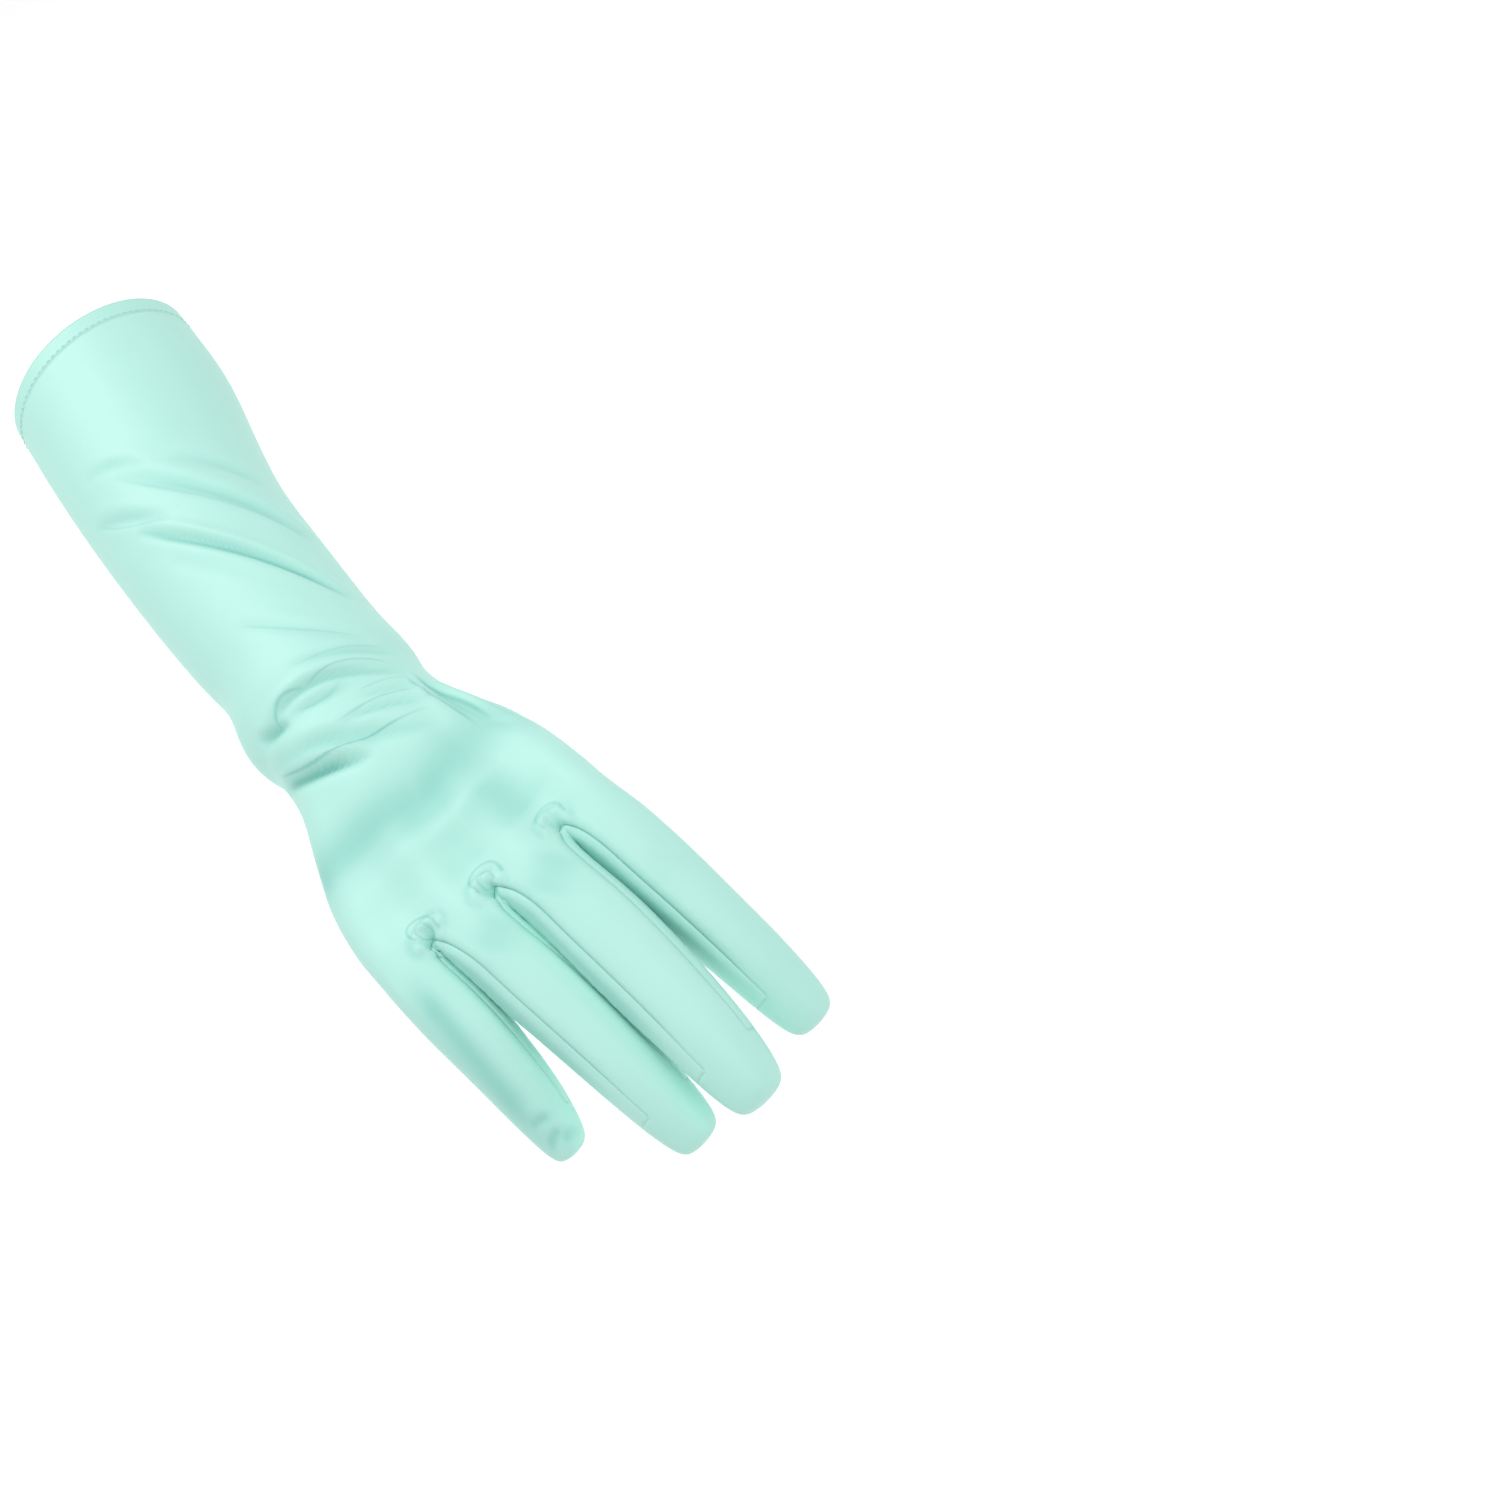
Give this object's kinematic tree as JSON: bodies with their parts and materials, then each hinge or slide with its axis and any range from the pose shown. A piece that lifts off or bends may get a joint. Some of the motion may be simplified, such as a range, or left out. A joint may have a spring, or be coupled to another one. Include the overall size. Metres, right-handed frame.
{
  "type": "evening glove",
  "caption": "Long satin evening glove for the right arm, elbow length, worn shape: plain sleeve with soft folds, turned hem, thumb piece and sewn-in strips between the fingers",
  "frame": {"origin": "the centre of the open end of the sleeve, at the hem, where the arm comes in", "axes": "+Y along the forearm out of the sleeve towards the elbow, so that the fingers point to -Y; +Z out of the back of the hand; +X to the thumb side"},
  "size_m": [0.0983, 0.3949, 0.0727],
  "materials": {
    "trank": "satin",
    "fourchette_index_middle": "satin",
    "fourchette_middle_ring": "satin",
    "fourchette_ring_little": "satin",
    "thumb": "satin",
    "hem": "satin"
  },
  "bodies": {
    "root": {"trank": "trank", "fourchette_index_middle": "fourchette_index_middle", "fourchette_middle_ring": "fourchette_middle_ring", "fourchette_ring_little": "fourchette_ring_little", "thumb": "thumb", "hem": "hem"}
  },
  "joints": []
}
